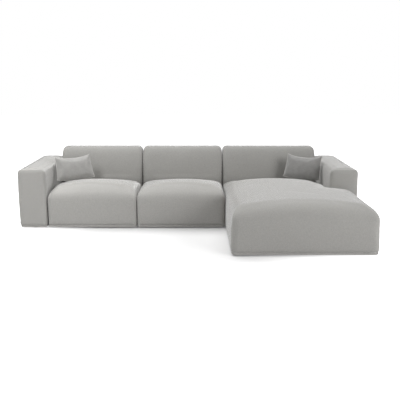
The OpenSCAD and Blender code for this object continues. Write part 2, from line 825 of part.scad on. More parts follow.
module chaise_frame() {
  x0 = chaise_left + chaise_in;
  x1 = chaise_right - chaise_in;
  xn = chaise_neck - chaise_in;
  y0 = chaise_front + chaise_in;
  yn = chaise_notch_y - chaise_in;
  y1 = chaise_rear - chaise_in;
  z0 = cloth_z + cloth_t + fit;
  z1 = frame_top;
  inner = board + fit;
  color(timber) placed() {
    box([x0, y0, z0], [x1, y0 + board, z1]);
    box([x0, y0 + inner, z0], [x0 + board, y1 - inner, z1]);
    box([x1 - board, y0 + inner, z0], [x1, yn - inner, z1]);
    box([xn + fit, yn - board, z0], [x1, yn, z1]);
    box([xn - board, y0 + inner, z0], [xn, y1 - inner, z1]);
    box([x0, y1 - board, z0], [xn, y1, z1]);
    for (share = [0.2, 0.4, 0.6, 0.8]) {
      y = mix(y0, y1, share);
      box([x0 + inner, y, z1 - 60], [xn - inner, y + board, z1]);
    }
  }
}

module chaise_webbing() {
  color(black) placed() {
    webbing(
      chaise_left + chaise_in, chaise_neck - chaise_in, chaise_front + chaise_in,
      chaise_rear - chaise_in, 5, 10
    );
    webbing(
      chaise_neck - chaise_in + 1, chaise_right - chaise_in, chaise_front + chaise_in,
      chaise_notch_y - chaise_in, 1, 5
    );
  }
}

module chaise_base_cloth() {
  z = [cloth_z, cloth_z + cloth_t];
  color(black) placed() {
    box(
      [chaise_left + chaise_in, chaise_front + chaise_in, z[0]],
      [chaise_right - chaise_in, chaise_notch_y - chaise_in, z[1]]
    );
    box(
      [chaise_left + chaise_in, chaise_notch_y - chaise_in - 1, z[0]],
      [chaise_neck - chaise_in, chaise_rear - chaise_in, z[1]]
    );
  }
}

// Right back, which stays up

right_low_round = 10;
right_pocket_low = 60;

module right_back_cover() {
  color(cloth) placed() difference() {
    back_form(right_bay, fg, back_top, right_low_round, right_low_round);
    back_pocket(right_bay, right_pocket_low);
  }
}

// Feet: a pad on the floor and a stem to what it carries

module foot(x, y, top) {
  translate([x, y, 0]) {
    cylinder(h = 8, r = foot_r, $fn = 40);
    cylinder(h = top - fit, r = foot_r / 2, $fn = 40);
  }
}

module feet() {
  arm_mid = arm_w / 2;
  color(black) placed() {
    for (x = [-body_w / 2 + arm_mid, body_w / 2 - arm_mid]) {
      for (y = [70, body_d - 70]) foot(x, y, 20);
    }
    for (bay = [left_bay, centre_bay]) {
      both_sides(bay) foot(rail_x + rail_w / 2, rail_front + 30, rail_z);
      both_sides(bay) foot(rail_x + rail_w / 2, base_rear - beam_d - 60, rail_z);
    }
    for (x = [chaise_left + 80, chaise_neck - 60]) {
      for (y = [chaise_front + 80, (chaise_front + chaise_rear) / 2, chaise_rear - 80]) foot(x, y, cloth_z);
    }
    for (y = [chaise_front + 80, chaise_notch_y - 80]) foot(chaise_right - 80, y, cloth_z);
    for (x = [chaise_left + 80, chaise_neck - 80]) foot(x, back_y + back_t / 2, fg);
  }
}

// Pillows: two crowned faces and a narrow rim between them, drawn in between four pointed corners

pillow_steps = 12;
pillow_rim = 3;

function bulge(s) = pow(max(0, 1 - s * s), 0.55);
function pillow_point(i, j, side) =
  let (
    u = sin(90 * (2 * i / pillow_steps - 1)),
    v = sin(90 * (2 * j / pillow_steps - 1))
  )
  [
    pillow_w / 2 * u * (1 - pillow_draw * (1 - v * v)) + pillow_flare * u * (1 - v) / 2,
    side * (pillow_rim + (pillow_t / 2 - pillow_rim) * bulge(u) * bulge(v)),
    pillow_h / 2 * v * (1 + (v < 0 ? pillow_sag : -pillow_draw) * (1 - u * u))
  ];

module pillow_form() {
  last = pillow_steps;
  n = last + 1;
  points = [for (side = [-1, 1]) for (j = [0:last]) for (i = [0:last]) pillow_point(i, j, side)];
  function at(i, j) = j * n + i;
  function rear(i, j) = n * n + j * n + i;
  cells = [for (j = [0:last - 1]) for (i = [0:last - 1]) each [
    [at(i, j), at(i, j + 1), at(i + 1, j + 1)],
    [at(i, j), at(i + 1, j + 1), at(i + 1, j)],
    [rear(i, j), rear(i + 1, j + 1), rear(i, j + 1)],
    [rear(i, j), rear(i + 1, j), rear(i + 1, j + 1)]
  ]];
  rim = [for (k = [0:last - 1]) each [
    [at(k, 0), at(k + 1, 0), rear(k + 1, 0)],
    [at(k, 0), rear(k + 1, 0), rear(k, 0)],
    [at(k, last), rear(k + 1, last), at(k + 1, last)],
    [at(k, last), rear(k, last), rear(k + 1, last)],
    [at(0, k), rear(0, k), rear(0, k + 1)],
    [at(0, k), rear(0, k + 1), at(0, k + 1)],
    [at(last, k), rear(last, k + 1), rear(last, k)],
    [at(last, k), at(last, k + 1), rear(last, k + 1)]
  ]];
  polyhedron(points, concat(cells, rim));
}

// Where the pillows stand: their middles as shares of their width and height, and how they lean and turn
left_pillow_at = [left_x + 0.48 * pillow_w, back_y - 0.577 * pillow_w, seat_rim + 0.59 * pillow_h];
left_pillow_turn = [-20, 35];
right_pillow_at = [right_x - 0.45 * pillow_w, back_y - 0.509 * pillow_w, chaise_rim + 0.528 * pillow_h];
right_pillow_turn = [-17, -36];

module left_pillow() {
  color(pillow_cloth) placed() translate(left_pillow_at)
    rotate([left_pillow_turn[0], 0, left_pillow_turn[1]]) pillow_form();
}

module right_pillow() {
  color(pillow_cloth) placed() translate(right_pillow_at)
    rotate([right_pillow_turn[0], 0, right_pillow_turn[1]]) pillow_form();
}

arm_cover(-body_w / 2);  // left_arm_cover
arm_frame(-body_w / 2);  // left_arm_frame
arm_cover(right_x);  // right_arm_cover
arm_frame(right_x);  // right_arm_frame
chaise_cover();
chaise_frame();
chaise_webbing();
chaise_base_cloth();
right_back_cover();
frame_of_back(right_bay, right_pocket_low);  // right_back_frame
panel_of_back(right_bay, right_pocket_low);  // right_back_panel
base_rails();
rear_skirt();
module_connectors();
feet();
fixed_runners(left_bay);  // left_fixed_runners
fixed_runners(centre_bay);  // centre_fixed_runners
guide_plates(left_bay);  // left_guide_plates
guide_plates(centre_bay);  // centre_guide_plates
seat_cover(left_bay);  // left_seat_cover
seat_frame(left_bay);  // left_seat_frame
seat_webbing(left_bay);  // left_seat_webbing
moving_runners(left_bay);  // left_moving_runners
seat_brackets(left_bay);  // left_seat_brackets
hinge_pins(left_bay);  // left_hinge_pins
roller_forks(left_bay);  // left_roller_forks
roller_axles(left_bay);  // left_roller_axles
rollers(left_bay);  // left_rollers
folding_back_cover(left_bay);  // left_back_cover
frame_of_back(left_bay, pivot_pocket_low);  // left_back_frame
panel_of_back(left_bay, pivot_pocket_low);  // left_back_panel
back_arms(left_bay);  // left_back_arms
guide_bushes(left_bay);  // left_guide_bushes
seat_cover(centre_bay);  // centre_seat_cover
seat_frame(centre_bay);  // centre_seat_frame
seat_webbing(centre_bay);  // centre_seat_webbing
moving_runners(centre_bay);  // centre_moving_runners
seat_brackets(centre_bay);  // centre_seat_brackets
hinge_pins(centre_bay);  // centre_hinge_pins
roller_forks(centre_bay);  // centre_roller_forks
roller_axles(centre_bay);  // centre_roller_axles
rollers(centre_bay);  // centre_rollers
folding_back_cover(centre_bay);  // centre_back_cover
frame_of_back(centre_bay, pivot_pocket_low);  // centre_back_frame
panel_of_back(centre_bay, pivot_pocket_low);  // centre_back_panel
back_arms(centre_bay);  // centre_back_arms
guide_bushes(centre_bay);  // centre_guide_bushes
left_pillow();
right_pillow();
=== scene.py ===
"""Corner sofa bed: the look of its covers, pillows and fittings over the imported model."""
import json
import math

import bmesh
import bpy
import numpy as np
from mathutils import Matrix, Vector


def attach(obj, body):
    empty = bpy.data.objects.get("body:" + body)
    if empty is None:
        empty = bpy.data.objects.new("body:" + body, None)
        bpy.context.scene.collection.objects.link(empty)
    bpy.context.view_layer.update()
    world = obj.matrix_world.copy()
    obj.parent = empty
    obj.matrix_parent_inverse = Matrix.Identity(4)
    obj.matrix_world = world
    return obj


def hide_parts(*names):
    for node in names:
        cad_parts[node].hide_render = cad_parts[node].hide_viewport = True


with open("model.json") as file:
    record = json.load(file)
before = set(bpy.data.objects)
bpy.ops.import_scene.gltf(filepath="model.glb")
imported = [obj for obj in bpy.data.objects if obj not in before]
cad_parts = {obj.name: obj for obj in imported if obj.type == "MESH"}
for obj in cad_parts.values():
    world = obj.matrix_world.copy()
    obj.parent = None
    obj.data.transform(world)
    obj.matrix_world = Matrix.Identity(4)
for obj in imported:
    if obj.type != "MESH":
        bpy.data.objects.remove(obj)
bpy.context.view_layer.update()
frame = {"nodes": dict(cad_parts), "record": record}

# Sizes in millimetres, as in the CAD source: y = 0 at the arms' fronts
BODY_W, BODY_D, REACH = 3160, 930, 860
ARM_W, ARM_H, ARM_PAD = 254, 568, 25
LEFT_SEAT_W, CENTRE_SEAT_W = 845, 835
GAP, FIT, FLOOR_GAP, HEM_IN = 3, 0.3, 14, 3
SEAT_Y0, SWING_GAP, CHAISE_INSET, NOTCH_R = 8, 14, 30, 12
SIDE_PAD, FRONT_PAD, BOARD_T, HOLLOW_TOP = 30, 45, 20, 262
CAD_SEAT_RIM, CAD_CHAISE_RIM = 371, 387
BACK_Y, BACK_T, BACK_TOP = 677, 235, 680
PIVOT_IN, PIVOT_UP, PIVOT_Z = 120, 110, 280
BRACKET_T, BRACKET_REACH, ARM_PLATE_X = 5, 155 + 57, 6
HUB_R, FLANGE_UP, STUD_BACK = 20, 130, 100
POCKET_FRONT, POCKET_TOP = BACK_Y + 90, BACK_TOP - 80
PIVOT_POCKET_LOW, RIGHT_POCKET_LOW = PIVOT_Z - 55, 60
PANEL_T, PANEL_IN = 10, 2
SKIRT_TOP, SKIRT_T = 155, 12

# Places that follow from them
LEFT_X = -BODY_W / 2 + ARM_W
SEAM_X = LEFT_X + LEFT_SEAT_W
CHAISE_X = SEAM_X + CENTRE_SEAT_W
RIGHT_X = BODY_W / 2 - ARM_W
BAYS = {"left": (LEFT_X, SEAM_X), "centre": (SEAM_X, CHAISE_X), "right": (CHAISE_X, RIGHT_X)}
FRONT_Y = (REACH - BODY_D) / 2
SEAT_REAR = BACK_Y - SWING_GAP
PIVOT_Y = BACK_Y + PIVOT_IN
BACK_LOW = PIVOT_Z - PIVOT_UP
BOARD_IN = GAP + SIDE_PAD + FIT + BOARD_T
POCKET_X = ARM_PLATE_X + BRACKET_T + FIT
CHAISE_LEFT, CHAISE_RIGHT = CHAISE_X + GAP, BODY_W / 2 - CHAISE_INSET
CHAISE_NECK, CHAISE_REAR, NOTCH_Y = RIGHT_X - GAP, BACK_Y - GAP, -GAP

# Sizes of the looks alone: hems as low as the photo's, their stitches, the seam beside the left arm
HEM, HEM_T, HEM_OVER, HEM_STEP = 14, 5, 5, 14
STITCH_T, STITCH_LOW, STITCH_HIGH = 1.2, HEM - 5, HEM - 3.6
ARM_SEAM = 6


def point(x, y, z):
    return (x / 1000, (y + FRONT_Y) / 1000, z / 1000)


# Materials


def new_material(name):
    """A bare material: its node tree, its shader and its object coordinates."""
    mat = bpy.data.materials.new(name)
    mat.use_nodes = True
    tree = mat.node_tree
    tree.nodes.clear()
    out = tree.nodes.new("ShaderNodeOutputMaterial")
    shader = tree.nodes.new("ShaderNodeBsdfPrincipled")
    tree.links.new(shader.outputs["BSDF"], out.inputs["Surface"])
    place = tree.nodes.new("ShaderNodeTexCoord").outputs["Object"]
    return mat, tree, shader, place


def math_node(tree, kind, a, b):
    node = tree.nodes.new("ShaderNodeMath")
    node.operation = kind
    for socket, value in zip(node.inputs, (a, b)):
        if isinstance(value, (int, float)):
            socket.default_value = value
        else:
            tree.links.new(value, socket)
    return node.outputs[0]


def wave(tree, vector, axis, pitch, distortion=0.0):
    """Soft bands, pitch metres apart; the texture itself turns 20 radians in a metre."""
    node = tree.nodes.new("ShaderNodeTexWave")
    node.wave_type = "BANDS"
    node.bands_direction = axis
    node.wave_profile = "SIN"
    node.inputs["Scale"].default_value = 2 * math.pi / 20 / pitch
    node.inputs["Distortion"].default_value = distortion
    node.inputs["Detail"].default_value = 1.0
    node.inputs["Detail Scale"].default_value = 2.0
    tree.links.new(vector, node.inputs["Vector"])
    return node.outputs["Fac"]


def noise(tree, vector, scale, detail, rough=0.55):
    node = tree.nodes.new("ShaderNodeTexNoise")
    node.inputs["Scale"].default_value = scale
    node.inputs["Detail"].default_value = detail
    node.inputs["Roughness"].default_value = rough
    tree.links.new(vector, node.inputs["Vector"])
    return node.outputs["Fac"]


def stretched(tree, place, scale):
    """Object coordinates with a scale of their own for each axis."""
    node = tree.nodes.new("ShaderNodeMapping")
    node.inputs["Scale"].default_value = scale
    tree.links.new(place, node.inputs["Vector"])
    return node.outputs[0]


def ramp(tree, fac, stops):
    node = tree.nodes.new("ShaderNodeValToRGB")
    tree.links.new(fac, node.inputs["Fac"])
    band = node.color_ramp
    while len(band.elements) < len(stops):
        band.elements.new(0.5)
    for element, (place, colour) in zip(band.elements, stops):
        element.position = place
        element.color = (*colour, 1)
    return node.outputs["Color"]


def scaled(colour, share):
    return tuple(min(1.0, c * share) for c in colour)


def tones(colour, *stops):
    """Stops of a ramp through shares of one colour."""
    return [(place, scaled(colour, share)) for place, share in stops]


def greys(*stops):
    return [(place, (value,) * 3) for place, value in stops]


def mix(tree, fac, a, b, kind="MIX"):
    node = tree.nodes.new("ShaderNodeMix")
    node.data_type = "RGBA"
    node.blend_type = kind
    for name, value in (("Factor", fac), ("A", a), ("B", b)):
        socket = [s for s in node.inputs if s.name == name and s.enabled][0]
        if isinstance(value, (int, float)):
            socket.default_value = value
        else:
            tree.links.new(value, socket)
    return [s for s in node.outputs if s.enabled][0]


def bump(tree, shader, height, distance, strength):
    node = tree.nodes.new("ShaderNodeBump")
    node.inputs["Strength"].default_value = strength
    node.inputs["Distance"].default_value = distance
    tree.links.new(height, node.inputs["Height"])
    tree.links.new(node.outputs["Normal"], shader.inputs["Normal"])


def feed(tree, shader, base, rough, values):
    """Links a shader's colour and roughness, and sets other inputs by their names."""
    tree.links.new(base, shader.inputs["Base Color"])
    tree.links.new(rough, shader.inputs["Roughness"])
    for name, value in values.items():
        shader.inputs[name].default_value = value


def weave_of(tree, place, pitch):
    """Two sets of crossing threads that lie in the surface, whichever way it faces."""
    x, y, z = (wave(tree, place, axis, pitch, 0.6) for axis in "XYZ")
    facing = tree.nodes.new("ShaderNodeSeparateXYZ")
    tree.links.new(tree.nodes.new("ShaderNodeTexCoord").outputs["Normal"], facing.inputs[0])
    shares = [math_node(tree, "MULTIPLY", side, side) for side in facing.outputs]
    crossings = (math_node(tree, "MULTIPLY", p, q) for p, q in ((y, z), (x, z), (x, y)))
    parts = [math_node(tree, "MULTIPLY", share, crossing) for share, crossing in zip(shares, crossings)]
    return math_node(tree, "ADD", math_node(tree, "ADD", parts[0], parts[1]), parts[2])


def cloth(name, colour, pitch=0.0034, spread=0.05):
    """Woven upholstery: two sets of threads, slubs, a slow change of tone and a soft sheen."""
    mat, tree, shader, place = new_material(name)
    weave = weave_of(tree, place, pitch)
    slub = noise(tree, place, 420, 2.0)
    tone = noise(tree, place, 2.3, 2.0)
    fleck = noise(tree, place, 160, 4.0, 0.65)
    base = ramp(tree, tone, tones(colour, (0.3, 1 - spread), (0.7, 1 + spread)))
    flecks = ramp(tree, fleck, tones(colour, (0.35, 0.8), (0.62, 1.16)))
    base = mix(tree, 0.55, base, flecks)
    thread = ramp(tree, weave, greys((0.1, 0.80), (0.9, 1.0)))
    base = mix(tree, 0.8, base, thread, "MULTIPLY")
    rough = ramp(tree, fleck, greys((0.3, 0.82), (0.7, 0.97)))
    values = {"Specular IOR Level": 0.2, "Sheen Weight": 1.0, "Sheen Roughness": 0.3}
    feed(tree, shader, base, rough, values)
    height = math_node(tree, "ADD", weave, math_node(tree, "MULTIPLY", slub, 0.5))
    bump(tree, shader, height, 0.0006, 0.7)
    return mat


def chenille(name, colour):
    """Velvety pillow cloth: short pile in narrow upright ribs with a sheen."""
    mat, tree, shader, place = new_material(name)
    rib = wave(tree, place, "X", 0.0048, 2.2)
    pile = noise(tree, place, 520, 3.0)
    crush = noise(tree, place, 22, 4.0, 0.6)
    base = ramp(tree, crush, tones(colour, (0.32, 0.84), (0.68, 1.14)))
    ribs = ramp(tree, rib, tones(colour, (0.0, 0.78), (1.0, 1.12)))
    base = mix(tree, 0.5, base, ribs)
    rough = ramp(tree, crush, greys((0.3, 0.72), (0.7, 0.9)))
    values = {"Specular IOR Level": 0.25, "Sheen Weight": 0.6, "Sheen Roughness": 0.45}
    feed(tree, shader, base, rough, values)
    bump(tree, shader, math_node(tree, "ADD", rib, pile), 0.0009, 0.8)
    return mat


def stitched(name, colour):
    """Thread that runs along x, y or z in short stitches."""
    mat, tree, shader, place = new_material(name)
    parts = [wave(tree, place, axis, 0.007) for axis in "XYZ"]
    along = math_node(tree, "MULTIPLY", math_node(tree, "MULTIPLY", parts[0], parts[1]), parts[2])
    fibre = noise(tree, place, 900, 2.0)
    base = ramp(tree, along, tones(colour, (0.0, 0.72), (0.3, 1.1)))
    rough = ramp(tree, fibre, greys((0.3, 0.6), (0.7, 0.85)))
    feed(tree, shader, base, rough, {"Sheen Weight": 0.2})
    bump(tree, shader, math_node(tree, "ADD", along, fibre), 0.0006, 0.7)
    return mat


def timber(name, colour):
    """Sawn boards: grain along y and fine pores."""
    mat, tree, shader, place = new_material(name)
    along = stretched(tree, place, (9, 1.2, 9))
    rings = noise(tree, along, 6, 5.0, 0.6)
    pores = noise(tree, along, 90, 3.0, 0.7)
    base = ramp(tree, rings, tones(colour, (0.3, 0.72), (0.5, 1.0), (0.7, 1.12)))
    dots = ramp(tree, pores, tones(colour, (0.35, 0.6), (0.6, 1.05)))
    base = mix(tree, 0.35, base, dots)
    rough = ramp(tree, rings, greys((0.3, 0.75), (0.7, 0.55)))
    feed(tree, shader, base, rough, {})
    bump(tree, shader, math_node(tree, "ADD", rings, pores), 0.0006, 0.6)
    return mat


def metal(name, colour, rough, metallic=1.0):
    """Brushed or coated metal with a slightly uneven tone."""
    mat, tree, shader, place = new_material(name)
    brush = noise(tree, stretched(tree, place, (40, 3, 40)), 30, 4.0, 0.6)
    spots = noise(tree, place, 35, 4.0, 0.6)
    base = ramp(tree, spots, tones(colour, (0.3, 0.86), (0.7, 1.08)))
    gloss = ramp(tree, brush, greys((0.3, rough * 0.8), (0.7, min(1, rough * 1.25))))
    feed(tree, shader, base, gloss, {"Metallic": metallic})
    bump(tree, shader, brush, 0.00015, 0.5)
    return mat


def plastic(name, colour, rough=0.5):
    """Moulded plastic with a fine grain and a little wear."""
    mat, tree, shader, place = new_material(name)
    grain = noise(tree, place, 900, 2.0)
    wear = noise(tree, place, 25, 4.0, 0.6)
    base = ramp(tree, wear, tones(colour, (0.3, 0.85), (0.7, 1.2)))
    gloss = ramp(tree, wear, greys((0.3, rough * 0.85), (0.7, rough * 1.15)))
    feed(tree, shader, base, gloss, {})
    bump(tree, shader, grain, 0.0002, 0.5)
    return mat


def webbing(name, colour):
    """Dark woven band."""
    mat, tree, shader, place = new_material(name)
    x, y = (wave(tree, place, axis, 0.003, 0.3) for axis in "XY")
    weave = math_node(tree, "MULTIPLY", x, y)
    base = ramp(tree, weave, tones(colour, (0.0, 0.6), (0.8, 1.6)))
    tree.links.new(base, shader.inputs["Base Color"])
    shader.inputs["Roughness"].default_value = 0.85
    bump(tree, shader, weave, 0.0006, 0.8)
    return mat


SOFA = (0.465, 0.457, 0.437)
sofa_cloth = cloth("sofa_weave", SOFA)
panel_cloth = cloth("panel_weave", scaled(SOFA, 0.97))
# Painted shade: the backs' copy of the sofa cloth is darker, standing in for the shade that falls on them
# behind the seats and pillows
shaded_back_cloth = cloth("back_weave_painted_shade", scaled(SOFA, 0.86))
# Painted light: the hem's copy of the sofa cloth is lighter, standing in for light that the white floor
# throws up onto the hem
lit_hem_cloth = cloth("hem_weave_painted_light", scaled(SOFA, 1.05), spread=0.03)
pillow_cloth = {
    "left": chenille("left_pillow_pile", (0.36, 0.354, 0.342)),
    # Painted shade: the right pillow's pile is darker than the left's, standing in for its face turned away
    # from the front-right lamp
    "right": chenille("right_pillow_pile_painted_shade", (0.285, 0.281, 0.273)),
}
piping_cloth = cloth("pillow_edge", (0.62, 0.61, 0.59), pitch=0.002, spread=0.02)
seam_thread = stitched("seam_thread", scaled(SOFA, 1.1))

# Forms

CORNER_STEPS = 8
VOXEL = 0.013


def new_mesh(name, points, faces, smooth=True):
    mesh = bpy.data.meshes.new(name)
    mesh.from_pydata([tuple(p) for p in points], [], faces)
    mesh.update()
    obj = bpy.data.objects.new(name, mesh)
    bpy.context.scene.collection.objects.link(obj)
    if smooth:
        mesh.polygons.foreach_set("use_smooth", [True] * len(mesh.polygons))
    return obj


def mixed(a, b, t):
    return a + (b - a) * t


def ease(t):
    u = min(1, max(0, t))
    return u * u * (3 - 2 * u)


def arch(x, x0, x1):
    """A parabola: 1 midway between x0 and x1, and 0 at both and beyond."""
    return max(0, 1 - ((2 * x - x0 - x1) / (x1 - x0)) ** 2)


def round_in(d, r):
    """How far a quarter round of radius r stands in at distance d from its end."""
    return 0 if d >= r else r - math.sqrt(r * r - (r - d) ** 2)


def rim_in(z, rim, wide, drop):
    """The same for a quarter of an ellipse, wide across and drop high, under the height rim."""
    if z <= rim - drop:
        return 0
    return wide * (1 - math.sqrt(max(0, 1 - ((z - rim + drop) / drop) ** 2)))


def corner_arc(x, y, r, start):
    """A quarter turn about x, y from the angle start, in degrees."""
    out = []
    for k in range(CORNER_STEPS + 1):
        t = math.radians(start + 90 * k / CORNER_STEPS)
        out.append((x + r * math.cos(t), y + r * math.sin(t)))
    return out


def counts(ring, spacing):
    """How many steps no longer than about spacing each side of an outline takes."""
    sides = zip(ring, ring[1:] + ring[:1])
    return [max(1, int(math.hypot(b[0] - a[0], b[1] - a[1]) / spacing)) for a, b in sides]


def spread_along(ring, steps):
    """The same outline with its sides divided into steps, so that all rings of a form match."""
    out = []
    for k, a in enumerate(ring):
        b = ring[(k + 1) % len(ring)]
        n = steps[k]
        out += [(mixed(a[0], b[0], j / n), mixed(a[1], b[1], j / n)) for j in range(n)]
    return out


def rect_ring(x0, x1, y0, y1, r):
    return (
        corner_arc(x1 - r, y0 + r, r, -90) + corner_arc(x1 - r, y1 - r, r, 0)
        + corner_arc(x0 + r, y1 - r, r, 90) + corner_arc(x0 + r, y0 + r, r, 180)
    )


def stack(name, rings, low, high, place=point):
    """A closed mesh through rings of equal count, with a fan at each end."""
    n = len(rings[0])
    points = [place(*p) for ring in rings for p in ring] + [place(*low), place(*high)]
    last = (len(rings) - 1) * n
    faces = []
    for k in range(len(rings) - 1):
        for j in range(n):
            a, b = k * n + j, k * n + (j + 1) % n
            faces.append((a, b, b + n, a + n))
    for j in range(n):
        m = (j + 1) % n
        faces.append((last + n, m, j))
        faces.append((last + n + 1, last + j, last + m))
    return new_mesh(name, points, faces)


def fix_normals(obj):
    bm = bmesh.new()
    bm.from_mesh(obj.data)
    bmesh.ops.recalc_face_normals(bm, faces=bm.faces)
    bm.to_mesh(obj.data)
    bm.free()


def sharpen(obj, angle=35):
    """Shades creases from a cut crisp and the rest smooth."""
    obj.data.set_sharp_from_angle(angle=math.radians(angle))


def apply_all(obj):
    for other in bpy.context.selected_objects:
        other.select_set(False)
    bpy.context.view_layer.objects.active = obj
    obj.select_set(True)
    for modifier in list(obj.modifiers):
        bpy.ops.object.modifier_apply(modifier=modifier.name)


def remesh(obj):
    """Even squares over a form, laid back on its own surface."""
    form = obj.copy()
    form.data = obj.data.copy()
    bpy.context.scene.collection.objects.link(form)
    m = obj.modifiers.new("remesh", "REMESH")
    m.mode = "VOXEL"
    m.voxel_size = VOXEL
    m = obj.modifiers.new("even", "SMOOTH")
    m.factor = 0.5
    m.iterations = 4
    m = obj.modifiers.new("lay", "SHRINKWRAP")
    m.wrap_method = "NEAREST_SURFACEPOINT"
    m.target = form
    apply_all(obj)
    bpy.data.objects.remove(form, do_unlink=True)


def coords(obj):
    out = np.empty(len(obj.data.vertices) * 3)
    obj.data.vertices.foreach_get("co", out)
    return out.reshape(-1, 3)


def set_coords(obj, co):
    obj.data.vertices.foreach_set("co", np.ascontiguousarray(co, dtype=float).ravel())
    obj.data.update()


def simulate(obj, pressure, frames, tension=15, bending=0.5, pin=None):
    """Cloth under inner pressure, with no gravity; what it does is applied to the mesh."""
    if pin is not None:
        group = obj.vertex_groups.new(name="pin")
        group.add([int(i) for i in pin], 1.0, "REPLACE")
    m = obj.modifiers.new("cloth", "CLOTH")
    s = m.settings
    s.quality = 5
    s.mass = 0.3
    s.tension_stiffness = tension
    s.compression_stiffness = tension
    s.bending_stiffness = bending
    s.use_pressure = True
    s.uniform_pressure_force = pressure
    s.effector_weights.gravity = 0
    if pin is not None:
        s.vertex_group_mass = "pin"
    m.point_cache.frame_start = 1
    m.point_cache.frame_end = frames
    for k in range(1, frames + 1):
        bpy.context.scene.frame_set(k)
    apply_all(obj)
    bpy.context.scene.frame_set(1)
    obj.vertex_groups.clear()


def hold(obj, before, cap, low=None, high=None):
    """Caps how far points moved from before, and keeps them between two corners, in metres."""
    now = coords(obj)
    step = now - before
    length = np.linalg.norm(step, axis=1)
    share = np.minimum(1, cap / np.maximum(length, 1e-9))
    now = before + step * share[:, None]
    if low is not None:
        now = np.minimum(np.maximum(now, np.array(low)), np.array(high))
    set_coords(obj, now)


def relax(obj, repeat):
    m = obj.modifiers.new("relax", "SMOOTH")
    m.factor = 0.5
    m.iterations = repeat
    apply_all(obj)


def cut(obj, boxes):
    """Cuts boxes, given by their low and high corners in millimetres, out of obj."""
    for low, high in boxes:
        corners = ((low[0], low[1]), (high[0], low[1]), (high[0], high[1]), (low[0], high[1]))
        points = [point(x, y, z) for z in (low[2], high[2]) for x, y in corners]
        faces = [(3, 2, 1, 0), (4, 5, 6, 7), (0, 1, 5, 4), (1, 2, 6, 5), (2, 3, 7, 6), (3, 0, 4, 7)]
        tool = new_mesh("cutter", points, faces, smooth=False)
        m = obj.modifiers.new("cut", "BOOLEAN")
        m.operation = "DIFFERENCE"
        m.solver = "MANIFOLD"
        m.object = tool
        apply_all(obj)
        bpy.data.objects.remove(tool, do_unlink=True)


def side_of(bay, x0, x1):
    """Ranges of x measured from the inner face of each side board of a bay."""
    left, right = bay[0] + BOARD_IN, bay[1] - BOARD_IN
    return [(left + x0, left + x1), (right - x1, right - x0)]


def finish_piece(obj, mat, body, nodes=()):
    obj.data.materials.clear()
    obj.data.materials.append(mat)
    obj.data.polygons.foreach_set("use_smooth", [True] * len(obj.data.polygons))
    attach(obj, body)
    if nodes:
        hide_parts(*nodes)
    return obj


def strip(name, ring, z0, z1, thick, mat, body, closed=True, place=point):
    """A flat band along an outline, with softly rounded edges."""
    n = len(ring)
    profile = []
    r = thick / 2
    for start, z in ((180, z0 + r), (0, z1 - r)):
        for k in range(5):
            t = math.radians(start + 180 * k / 4)
            profile.append((r * math.cos(t), z + r * math.sin(t)))
    m = len(profile)
    points = []
    for k, (x, y) in enumerate(ring):
        if closed:
            a, b = ring[k - 1], ring[(k + 1) % n]
        else:
            a, b = ring[max(k - 1, 0)], ring[min(k + 1, n - 1)]
        dx, dy = b[0] - a[0], b[1] - a[1]
        long = math.hypot(dx, dy) or 1
        nx, ny = dy / long, -dx / long
        points += [place(x + nx * (d - r), y + ny * (d - r), z) for d, z in profile]
    faces = []
    for k in range(n if closed else n - 1):
        for j in range(m):
            a, b = k * m, ((k + 1) % n) * m
            faces.append((a + j, b + j, b + (j + 1) % m, a + (j + 1) % m))
    if not closed:
        faces += [tuple(range(m)), tuple((n - 1) * m + j for j in reversed(range(m)))]
    obj = new_mesh(name, points, faces)
    fix_normals(obj)
    return finish_piece(obj, mat, body)


# Cushions with a crown

BLOCK_LOW = FLOOR_GAP + HEM + 1
CROWN_RINGS = 14
CROWN_MARGIN = 60
FALL_END, FALL_RUN = BACK_Y - 77, 350
# How far a cushion's sides swell past its frame's bay, which narrows the seams
BELLY = 2.1
EDGES = ("side", "front", "rear", "neck", "notch")
SIDE_LEVELS = (BLOCK_LOW, BLOCK_LOW + 2, BLOCK_LOW + 6, 60, 90, 130, 170, 210, 250)
RIM_SHARES = (0, 0.15, 0.3, 0.45, 0.58, 0.7, 0.8, 0.88, 0.94, 0.98, 1)
TUCK, TUCK_H, PIN_H = 5, 9, 14
# Cuts start below the covers and run past their open ends
UNDER, PAST = -1, 20


def levels(rim, drop):
    low = [z for z in SIDE_LEVELS if z < rim - drop - 5]
    return low + [rim - drop + drop * share for share in RIM_SHARES]


def tuck_in(z):
    """How far a cover is drawn in just above the hem's seam."""
    return TUCK * max(0, 1 - (z - BLOCK_LOW) / TUCK_H) ** 2


def draw(z, rim):
    """How far a side stands in at height z: a slow belly, and a tuck at the hem's seam."""
    return 2.0 * ((z - rim / 2) / (rim / 2)) ** 2 - BELLY + tuck_in(z)


def fallen(y):
    """The share of a crown's fall toward the backs that is reached at y."""
    return ease((y - FALL_END + FALL_RUN) / FALL_RUN)


def crowned_block(name, outline, shape, rise, middle):
    """A block whose top rises over its rim as the function tells; outline gives its rings."""
    rim, drop = shape["rim"], shape["drop"]
    rings = []
    n = None

    def raised(ring, z):
        share = min(1, max(0, (z - rim + drop) / drop))
        return [(x, y, z + share * rise(x, y)) for x, y in spread_along(ring, n)]

    for z in levels(rim, drop):
        d = draw(z, rim)
        ways = {edge: d + rim_in(z, rim, shape[edge], drop) for edge in EDGES}
        for edge in shape["tight"]:
            ways[edge] += BELLY
        # The corners grow rounder as the front rounding moves in
        ring = outline(ways, shape["corner"] + 0.3 * min(ways["front"], 60))
        n = n or counts(ring, spacing=24)
        rings.append(raised(ring, z))
    for k in range(1, CROWN_RINGS):
        t = k / CROWN_RINGS
        ways = {edge: mixed(shape[edge] + 2, shape["ends"].get(edge, shape["end"]), t) for edge in EDGES}
        ring = outline(ways, mixed(shape["corner"] + 18, 20, t))
        rings.append(raised(ring, rim))
    x, y = middle
    return stack(name, rings, (x, y, BLOCK_LOW), (x, y, rim + rise(x, y)))


